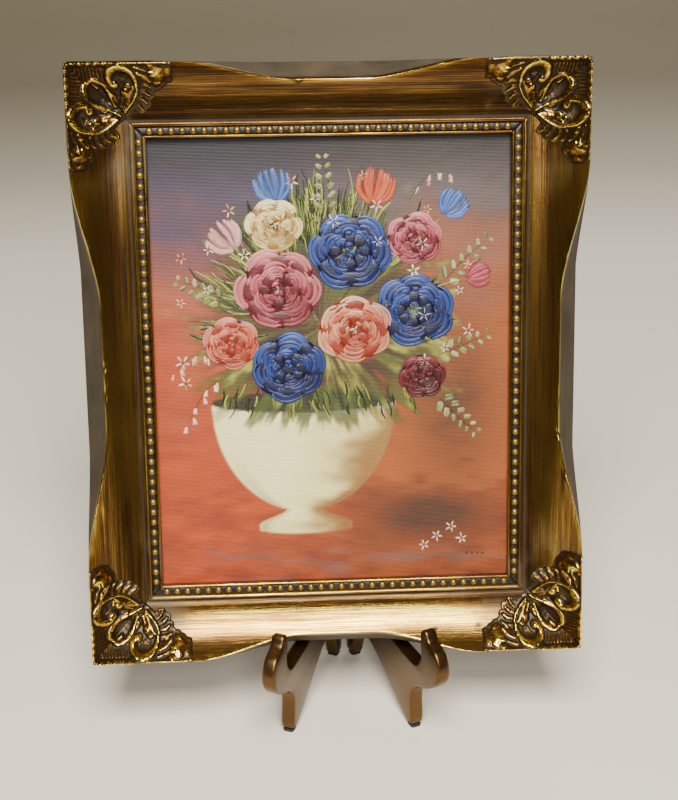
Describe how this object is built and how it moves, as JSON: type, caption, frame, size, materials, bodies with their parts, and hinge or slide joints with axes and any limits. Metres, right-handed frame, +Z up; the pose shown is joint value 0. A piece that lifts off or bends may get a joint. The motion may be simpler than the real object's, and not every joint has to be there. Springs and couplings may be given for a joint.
{
  "type": "framed oil painting on a display easel",
  "caption": "Small floral oil painting in a swept gilt frame with beaded sight edge and cast corner ornaments, standing on a folding hooked display easel.",
  "frame": {"origin": "on the ground under the middle of the whole object's box", "axes": "+Z up, the painting faces -Y, +X to the viewer's right"},
  "size_m": [0.2674, 0.1332, 0.3624],
  "materials": {
    "gilt_rail": "worn gold leaf over dark stain, streaked along the rail",
    "gilt_beading": "gold beads in a grey patinated channel",
    "gilt_ornament": "gilt casting with dark patina in the hollows",
    "painted_canvas": "oil paint on primed canvas panel",
    "steel": "plain bright steel",
    "brassed_steel": "stamped brassed plate",
    "bronze_plastic": "satin metallic bronze plastic",
    "black_rubber": "matt rubber"
  },
  "bodies": {
    "root": {"beading_bottom": "gilt_beading", "beading_left": "gilt_beading", "beading_right": "gilt_beading", "beading_top": "gilt_beading", "canvas_panel": "painted_canvas", "corner_ornament_bottom_left": "gilt_ornament", "corner_ornament_bottom_right": "gilt_ornament", "corner_ornament_top_left": "gilt_ornament", "corner_ornament_top_right": "gilt_ornament", "easel_left": "bronze_plastic", "easel_right": "bronze_plastic", "foot_pad_front_left": "black_rubber", "foot_pad_front_right": "black_rubber", "foot_pad_rear_left": "black_rubber", "foot_pad_rear_right": "black_rubber", "framing_point_bottom": "steel", "framing_point_left_lower": "steel", "framing_point_left_upper": "steel", "framing_point_right_lower": "steel", "framing_point_right_upper": "steel", "framing_point_top": "steel", "hinge_pin": "steel", "rail_bottom": "gilt_rail", "rail_left": "gilt_rail", "rail_right": "gilt_rail", "rail_top": "gilt_rail", "sawtooth_hanger": "brassed_steel"}
  },
  "joints": []
}
